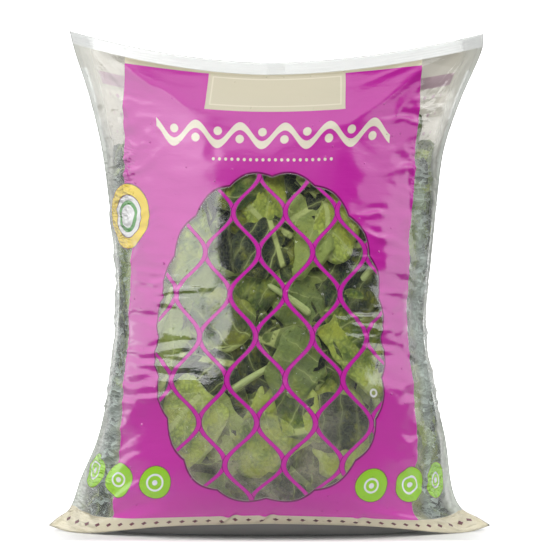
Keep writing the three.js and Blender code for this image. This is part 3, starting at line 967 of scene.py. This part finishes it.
    # haze: thin side edges, the seals, the waist, patches of mist low inside that are partly a painted
    # reflection of the floor, and the lap seam
    haze = above(ax, 142.0, 7.0) * 0.58 + above(s, top, 0.4) * 0.5 + above(ax, 151.6, 0.4) * 0.2
    waist = above(ax + below(x, 0.0) * 6.0, 136.0, 7.0) * above(s, 60.0, 20.0) * below(s, 262.0, 30.0)
    patches = above(noise(vector, 0.045, 4.0, 0.6), 0.51, 0.16) * 0.38 + 0.02
    # partly painted reflection: the mist low in the window also stands for the floor seen in the film
    mistAndFloorReflection = front * below(s, 92.0, 45.0) * patches
    seam = behind * below(ax, 6.2) * above(s, 47.0)
    haze = haze + waist * 0.4 + mistAndFloorReflection + seam * 0.1

    # vent holes with a sealed ring
    for cx, cs, which in bagPrint["vents"]:
        away = distance(x - cx, s - cs)
        where = front if which < 0 else behind
        lay(where * below(away, 3.0), "white", 0.8)
        lay(where * below(away, 1.5), "white", 0.0)
    return finishGroup(tree, {**laid, "Haze": calc("MINIMUM", haze, 0.8)})


filmLook = {
    "backing": srgb(218, 215, 206),      # white ink, seen from inside
    "clear": (0.97, 0.975, 0.97, 1.0),
    "gloss": 0.12,                       # roughness of the bare film
    "inkGloss": 0.14,
    "milky": srgb(226, 229, 224),
    "seal": srgb(244, 246, 244),
    "mistAndFloorReflection": srgb(224, 220, 192),
    "margin": srgb(214, 227, 220),
    "fin": srgb(218, 223, 214),
    "crimp": 1.7,                        # from ridge to ridge of the seal
    "beads": {"Scale": 0.16, "Size": 0.09, "Softness": 0.07, "Dry share": 0.72},
}


def filmMaterial():
    material, tree = newMaterial("clear printed film")
    vector, x, s, side = place(tree, "filmPlace")
    ax = abs(x)
    atSeal = above(s, bagPrint["sealFrom"], 0.4)
    ink = addNode(tree, "Group", node_tree=printGroup())
    ink = {key: Value(ink.outputs[key]) for key in ("Colour", "Cover", "Haze")}
    # seen from inside, the ink has its white backing in front of it
    backing = valueOf(tree, "NewGeometry", output="Backfacing")
    inkColour = mixColour(backing * 0.74, ink["Colour"], filmLook["backing"])

    # crimped seal ridges and the fine crinkle of thin film
    crimp = calc("SINE", s * (2 * math.pi / filmLook["crimp"])) * above(s, 336.5, 0.4)
    stretched = moved(vector, (0.35, 1.0, 1.0))
    fine = noise(stretched, 0.11, 4.0, 0.55)
    underHeader = below(s, 258.0, 26.0)
    crinkle = noise(stretched, 0.42, 3.0, 0.6) * above(ax, 118.0, 7.0) * underHeader
    # the loose side margins are crumpled into small facets with whitened creases; the pale creases and
    # facets are partly painted glints and sheen
    swirl = noise(vector, 0.09, 2.0, output="Color")
    bent = moved(swirl, (9.0, 9.0, 0.0), stretched)
    facets = addNode(tree, "TexVoronoi", {"Vector": bent, "Scale": 0.4})
    facet = channel(Value(facets.outputs["Color"]), 0)
    crease = below(cellEdge(bent, 0.4), 0.05, 0.05)
    margin = above(ax, 116.0, 5.0) * underHeader * above(s, 16.0, 4.0)
    besidePanel = above(x, 108.0, 3.0) * below(x, 129.0, 7.0)
    # partly painted highlight: pale film beside the panel, on creases and on some facets
    crumple = margin * (besidePanel * 0.36 + crease * 0.34 + facet ** 4.0 * 0.65)
    # the margins are paler low on the left and at the waist on the right
    paleLeft = below(x, -113.0, 3.0) * above(s, 46.0, 14.0) * below(s, 118.0, 22.0) * 0.34
    paleRight = above(x, 110.0, 3.0) * above(s, 98.0, 20.0) * below(s, 190.0, 26.0) * 0.24
    haze = calc("MAXIMUM", ink["Haze"], crumple + paleLeft + paleRight)
    beads = valueOf(tree, "Group", {"Vector": vector, **filmLook["beads"]}, node_tree=waterBeads)
    height = fine + crinkle * 5.0 + crimp * 0.12 + beads * 1.5
    height = height + margin * Value(facets.outputs["Distance"]) * 4.0
    bump = addNode(tree, "Bump", {"Height": height, "Distance": 0.0006, "Strength": 0.7})

    # both faces of the thin film send back the same share of the light, more at a slant
    facing = valueOf(tree, "LayerWeight", {"Normal": bump}, "Facing")
    calmer = margin * (below(x, -129.0, 5.0) * -0.75 + 0.8)
    glare = (facing ** 5.0 * 0.55 + 0.15) * (1.0 - calmer)
    gloss = addNode(tree, "BsdfGlossy", {"Color": white, "Roughness": filmLook["gloss"], "Normal": bump})
    through = addNode(tree, "BsdfTransparent", {"Color": filmLook["clear"]})
    clear = addNode(tree, "MixShader", {0: glare, 1: through, 2: gloss})

    # milky film, by region
    milky = mixColour(atSeal, filmLook["milky"], filmLook["seal"])
    for mask, colour in ((below(ax, 118.0, 4.0) * below(s, 105.0, 40.0), "mistAndFloorReflection"),
                         (margin * below(ax, 136.0, 6.0), "margin"),
                         (above(ax, 140.0, 5.0) * below(s, 250.0, 25.0), "fin")):
        milky = mixColour(mask, milky, filmLook[colour])
    cloudy = addNode(tree, "BsdfPrincipled", {"Base Color": milky, "Roughness": 0.4, "Normal": bump})
    glowing = addNode(tree, "BsdfTranslucent", {"Color": milky})
    cloudy = addNode(tree, "MixShader", {0: atSeal * -0.14 + 0.26, 1: cloudy, 2: glowing})

    # ink, with light from behind it; pale ink on the back lets more through
    printed = addNode(tree, "BsdfPrincipled", {"Base Color": inkColour, "Roughness": filmLook["inkGloss"],
                                               "IOR": 2.05, "Normal": bump})
    lit = addNode(tree, "BsdfTranslucent", {"Color": inkColour})
    pale = channel(ink["Colour"], 1) * above(side, 0.0, 0.02)
    printed = addNode(tree, "MixShader", {0: pale * 0.35 + 0.12, 1: printed, 2: lit})
    bare = addNode(tree, "MixShader", {0: haze, 1: clear, 2: cloudy})
    surface = addNode(tree, "MixShader", {0: ink["Cover"], 1: bare, 2: printed})
    addNode(tree, "OutputMaterial", {"Surface": surface})
    return material


leafLook = {
    "darkest": srgb(8, 16, 17),
    "dark": srgb(25, 42, 33),
    "middle": srgb(82, 106, 44),
    "light": srgb(176, 192, 88),
    "yellowed": srgb(158, 160, 44),
    "dull": srgb(86, 86, 64),
    "vein": srgb(184, 196, 122),
    "underside": srgb(122, 140, 84),
    "sideVeins": 17.0,       # spacing
    "forkVeins": 11.0,
    "net": 0.26,             # scale of the finest veins
    "beads": {"Scale": 0.2, "Size": 0.14, "Softness": 0.08, "Dry share": 0.4},
}


def leafMaterial():
    material, tree = newMaterial("collard leaf")
    vector, along, across = place(tree, "leafPlace")[:3]
    tone, face, rim = place(tree, "leafLook")[1:]
    # side veins leave the main rib at an angle, bend with the leaf and thin out towards its edge
    warp = (noise(vector, 0.05, 2.0) - 0.5) * 16.0
    away = abs(across)
    cell = abs(fromCell(along + warp - away * 0.85, leafLook["sideVeins"]))
    taper = below(away, 22.0, 22.0)
    sideVein = below(cell / (taper * 0.75 + 0.2), 0.75, 0.45) * (taper * 0.34 + 0.16)
    fork = fromCell(along + warp * 1.4 - away * 0.25, leafLook["forkVeins"])
    forkVein = below(abs(fork), 0.2, 0.2) * 0.12
    mainRib = below(away + warp * 0.06, 1.9, 0.9)
    net = cellEdge(vector, leafLook["net"])
    netVein = below(net, 0.05, 0.04) * 0.1
    veins = mainRib
    for vein in (sideVein, forkVein, netVein):
        veins = calc("MAXIMUM", veins, vein)
    halo = below(calc("MINIMUM", cell, away), 2.2, 2.2) * 0.16

    # blade colour: each piece has its own tone, mottled a little, with painted shade across it
    mottleAndShade = tone + (noise(vector, 0.09, 5.0, 0.7) - 0.5) * 0.95
    # painted shade: broad darker and lighter patches stand for each piece's curl and depth
    mottleAndShade = mottleAndShade + (noise(vector, 0.026, 2.0) - 0.5) * 0.7
    # painted shade: each areole is lighter in its middle and darker by the fine veins, as on a lit quilted
    # blade
    mottleAndShade = mottleAndShade + (calc("MINIMUM", net, 0.35) - 0.18) * 0.5
    ramp = addNode(tree, "ValToRGB", {0: mottleAndShade})
    elements = ramp.color_ramp.elements
    elements[0].color, elements[1].color = leafLook["darkest"], leafLook["light"]
    elements.new(0.36).color = leafLook["dark"]
    elements.new(0.62).color = leafLook["middle"]
    yellow = above(noise(vector, 0.045, 3.0, 0.6), 0.54, 0.1) * above(mottleAndShade, 0.35, 0.2)
    dull = below(noise(vector, 0.04, 3.0, 0.6), 0.44, 0.1) * below(mottleAndShade, 0.75, 0.2)
    dull = dull * above(mottleAndShade, 0.3, 0.15)
    # parts of the cut edge are pale, as the veins are
    cut = above(rim, 0.98, 0.02) * above(noise(vector, 0.06, 2.0), 0.5, 0.1) * 0.4
    pale = calc("MAXIMUM", calc("ADD", veins, halo, clamp=True), cut)
    colour = ramp
    for mask, second in ((yellow * 0.5, "yellowed"), (dull * 0.4, "dull"),
                         (below(face, 0.0, 0.1) * 0.55, "underside"), (pale, "vein")):
        colour = mixColour(mask, colour, leafLook[second])

    # the blade is quilted between the veins, and its beads of water catch the light
    beads = valueOf(tree, "Group", {"Vector": vector, **leafLook["beads"]}, node_tree=waterBeads)
    height = veins * 0.6 + noise(vector, 0.35, 3.0) * 0.7 + calc("MINIMUM", net, 0.4) * 2.2 + beads * 1.6
    bump = addNode(tree, "Bump", {"Height": height, "Distance": 0.0006, "Strength": 0.8})
    rough = mapped(noise(vector, 0.12, 2.0), 0.0, 1.0, 0.32, 0.6) * (beads * -0.8 + 1.0)
    skin = addNode(tree, "BsdfPrincipled", {"Base Color": colour, "Roughness": rough, "Normal": bump,
                                            "Specular IOR Level": 0.3})
    addNode(tree, "OutputMaterial", {"Surface": skin})
    return material


stalkLook = {
    "fibre": srgb(150, 172, 96),
    "pale": srgb(206, 216, 152),
    "stretch": (0.12, 1.0, 1.0),
}


def stalkMaterial():
    material, tree = newMaterial("collard stalk")
    vector = place(tree, "leafPlace")[0]
    fibre = noise(moved(vector, stalkLook["stretch"]), 1.4, 3.0)
    colour = mixColour(fibre, stalkLook["fibre"], stalkLook["pale"])
    bump = addNode(tree, "Bump", {"Height": fibre, "Distance": 0.0004, "Strength": 0.6})
    skin = addNode(tree, "BsdfPrincipled", {"Base Color": colour, "Roughness": 0.4, "Normal": bump})
    addNode(tree, "OutputMaterial", {"Surface": skin})
    return material


filmBag.data.materials.append(filmMaterial())
leafSkin = leafMaterial()
for piece in (outerLeaves, looseLeaves, innerLeaves, heapCore):
    piece.data.materials.append(leafSkin)
stalkSkin = stalkMaterial()
for piece in stalks:
    piece.data.materials.append(stalkSkin)
print("materials made")

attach(filmBag, "root")
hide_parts("bag_film")
for piece, nodes in ((outerLeaves, ["chopped_leaves"]), (innerLeaves, ["chopped_leaves"]),
                     (heapCore, ["chopped_leaves"]),
                     (looseLeaves, ["leaf_piece_%02d" % (k + 1) for k in range(10)])):
    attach(piece, "root")
    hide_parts(*nodes)
for k, piece in enumerate(stalks):
    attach(piece, "root")
    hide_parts("stalk_piece_%02d" % (k + 1))


# Floor, light and camera

studio = {
    "distance": 1.4,
    "elevation": 2.5,
    "target": (0.006, 0.0, 0.178),
    "lens": 129.6,
    "sensor": 36,
    # upright softboxes: start and end on the floor, height, radiance, and how far off the floor
    "softboxes": {"left softbox": ((-0.42, -1.12), (-1.04, 0.6), 1.6, 1.95, 0.02),
                  "right softbox": ((1.05, -0.75), (1.15, 0.6), 1.6, 1.6, 0.02),
                  "high right softbox": ((0.92, -1.3), (1.05, -0.76), 1.5, 1.0, 0.9)},
    # lamps: place, aim, size, power
    "low fill": ((0.1, -1.3, 0.12), (0, 0, 0.0), (0.9, 0.2), 0.5),
    "top softbox": ((0, 0.05, 2.4), (0, 0.05, 0), (4.0, 3.2), 34),
    "front key": ((-0.3, -1.35, 1.9), (0, 0, 0.15), (1.5, 0.8), 34),
    "fillSpread": 32,
    "air": (0.1, 1.0, -0.05),            # light from all round: base, as the camera sees it, in glosses
}


def paperMaterial(name, shade, paintedGlow):
    # painted light: the paper glows white to the camera alone around the contact shadow, and glows for all
    # rays behind the bag, lighting it from behind; its colour dims toward its front edge
    material, tree = newMaterial(name)
    spot = valueOf(tree, "NewGeometry", output="Position")
    away = valueOf(tree, "VectorMath", {0: spot}, "Value", operation="LENGTH")
    forward = valueOf(tree, "SeparateXYZ", {0: spot}, 1)
    # painted light: to the camera alone the paper glows white round the contact shadow
    paintedWhiteGlow = calc("MAXIMUM", mapped(away, 0.13, 0.21, 0.0, 0.6), mapped(forward, -0.034, -0.056, 0.0, 0.9))
    seen = valueOf(tree, "LightPath", output="Is Camera Ray")
    glowing = paintedWhiteGlow * seen + mapped(forward, 0.05, 0.3, paintedGlow, paintedGlow + 0.55)
    colour = mapped(forward, -0.12, -0.034, 0.25, shade)
    paper = addNode(tree, "BsdfPrincipled", {"Base Color": colour, "Roughness": 0.9,
                                             "Specular IOR Level": 0.0, "Emission Color": white,
                                             "Emission Strength": glowing})
    addNode(tree, "OutputMaterial", {"Surface": paper})
    return material


def buildStage():
    curve = [(1.6 + 1.2 * math.sin(t), 1.2 - 1.2 * math.cos(t)) for t in np.linspace(0, math.pi / 2, 15)]
    for name, profile, shade, paintedGlow in (("studio_floor", [(-0.32, 0.0), (0.6, 0.0), (1.6, 0.0)], 0.8, 0.0),
                                       ("studio_backdrop", curve + [(2.8, 4.0)], 0.9, 0.45)):
        points = [(x, y, z) for y, z in profile for x in (-4, 0, 4)]
        sheet = makeMesh(name, points, gridFaces(np.arange(len(points)).reshape(-1, 3)))
        sheet.data.materials.append(paperMaterial(name.replace("_", " "), shade, paintedGlow))


def addLight(name, at, aim, size, power):
    light = bpy.data.lights.new(name, "AREA")
    light.shape = "RECTANGLE"
    light.size, light.size_y = size
    light.energy = power
    lamp = bpy.data.objects.new(name, light)
    bpy.context.collection.objects.link(lamp)
    lamp.location = at
    lamp.rotation_euler = (Vector(aim) - Vector(at)).to_track_quat("-Z", "Y").to_euler()
    return lamp


def addSoftbox(name, start, end, height, radiance, low):
    # upright between two floor points, facing the bag; only its sheen on the film is wanted
    start, end = Vector(start + (0,)), Vector(end + (0,))
    middle = (start + end) / 2
    width = (end - start).length
    face = Vector((0, 0, 1)).cross(end - start).normalized()
    if face.dot(-middle) < 0:
        face = -face
    centre = middle + Vector((0, 0, height / 2 + low))
    lamp = addLight(name, centre, centre + face, (width, height), radiance * math.pi * width * height)
    lamp.visible_diffuse = False


buildStage()
for name, settings in studio["softboxes"].items():
    addSoftbox(name, *settings)
lamps = {name: addLight(name, *studio[name]) for name in ("low fill", "top softbox", "front key")}
lamps["low fill"].data.spread = math.radians(studio["fillSpread"])
for name in ("low fill", "front key"):
    lamps[name].visible_glossy = False      # polarised: they light the bag without a glare of their own

world = bpy.data.worlds.new("studio air")
bpy.context.scene.world = world
world.use_nodes = True
world.node_tree.nodes.clear()
seen = valueOf(world.node_tree, "LightPath", output="Is Camera Ray")
mirrored = valueOf(world.node_tree, "LightPath", output="Is Glossy Ray")
base, plain, inGloss = studio["air"]
level = mapped(seen, 0.0, 1.0, base, plain) + mirrored * inGloss
air = addNode(world.node_tree, "Background", {"Color": white, "Strength": level})
addNode(world.node_tree, "OutputWorld", {"Surface": air})

camera = bpy.data.objects.new("camera", bpy.data.cameras.new("camera"))
bpy.context.collection.objects.link(camera)
camera.data.lens = studio["lens"]
camera.data.sensor_width = studio["sensor"]
elevation = math.radians(studio["elevation"])
target = Vector(studio["target"])
camera.location = target + studio["distance"] * Vector((0, -math.cos(elevation), math.sin(elevation)))
camera.rotation_euler = (target - camera.location).to_track_quat("-Z", "Y").to_euler()
bpy.context.scene.camera = camera
bpy.context.scene.view_settings.view_transform = "Standard"
print("studio ready")
